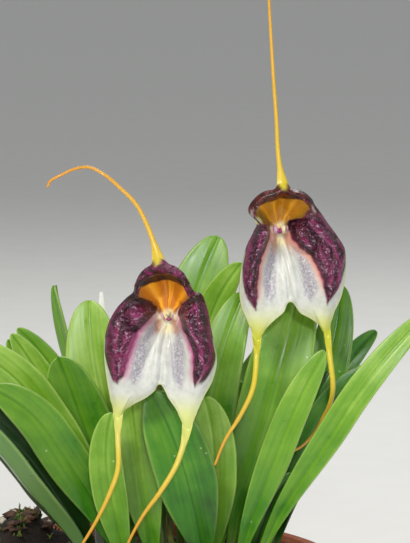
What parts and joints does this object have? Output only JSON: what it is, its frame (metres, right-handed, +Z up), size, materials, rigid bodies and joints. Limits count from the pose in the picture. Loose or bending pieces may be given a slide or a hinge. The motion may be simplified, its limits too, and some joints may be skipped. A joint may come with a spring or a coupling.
{
  "type": "masdevallia orchid",
  "caption": "Masdevallia orchid in flower: a tuft of leathery green leaves and long-tailed maroon, white and orange blooms on thin stalks, growing in a plain round clay pot.",
  "frame": {"origin": "middle of the flat underside of the pot, on the surface it stands on", "axes": "+Z up, -Y is the front that the blooms face, +X to the right as seen from the front"},
  "size_m": [0.1292, 0.112, 0.2451],
  "materials": {
    "clay": "unglazed terracotta, matt",
    "bark": "damp bark chips and moss, matt",
    "label_white": "plain white plastic, satin",
    "leaf_green": "leathery leaf, soft gloss",
    "sepal": "fleshy petal surface, glossy maroon with white and orange areas",
    "column": "waxy",
    "petal": "waxy",
    "lip": "waxy",
    "stalk": "smooth green stem"
  },
  "bodies": {
    "root": {"bark_mix": "bark", "leaf_back_slim": "leaf_green", "leaf_back_tall": "leaf_green", "leaf_centre_slim": "leaf_green", "leaf_centre_tall": "leaf_green", "leaf_front_centre": "leaf_green", "leaf_front_left_centre": "leaf_green", "leaf_front_narrow_left": "leaf_green", "leaf_front_right_centre": "leaf_green", "leaf_left_broad": "leaf_green", "leaf_left_long_lower": "leaf_green", "leaf_left_long_upper": "leaf_green", "leaf_left_lowest": "leaf_green", "leaf_left_round_back": "leaf_green", "leaf_left_shaded": "leaf_green", "leaf_left_small_a": "leaf_green", "leaf_left_small_b": "leaf_green", "leaf_left_small_c": "leaf_green", "leaf_left_spire": "leaf_green", "leaf_rear_a": "leaf_green", "leaf_rear_b": "leaf_green", "leaf_rear_c": "leaf_green", "leaf_rear_d": "leaf_green", "leaf_rear_e": "leaf_green", "leaf_rear_f": "leaf_green", "leaf_rear_g": "leaf_green", "leaf_rear_h": "leaf_green", "leaf_right_broad": "leaf_green", "leaf_right_front": "leaf_green", "leaf_right_inner": "leaf_green", "leaf_right_long": "leaf_green", "leaf_right_short": "leaf_green", "leaf_right_small_back": "leaf_green", "leaf_right_small_front": "leaf_green", "leaf_right_tall": "leaf_green", "lower_bloom_column": "column", "lower_bloom_lip": "lip", "lower_bloom_petal_left": "petal", "lower_bloom_petal_right": "petal", "lower_bloom_sepals": "sepal", "lower_bloom_stalk": "stalk", "plant_label": "label_white", "pot": "clay", "upper_bloom_column": "column", "upper_bloom_lip": "lip", "upper_bloom_petal_left": "petal", "upper_bloom_petal_right": "petal", "upper_bloom_sepals": "sepal", "upper_bloom_stalk": "stalk"}
  },
  "joints": []
}
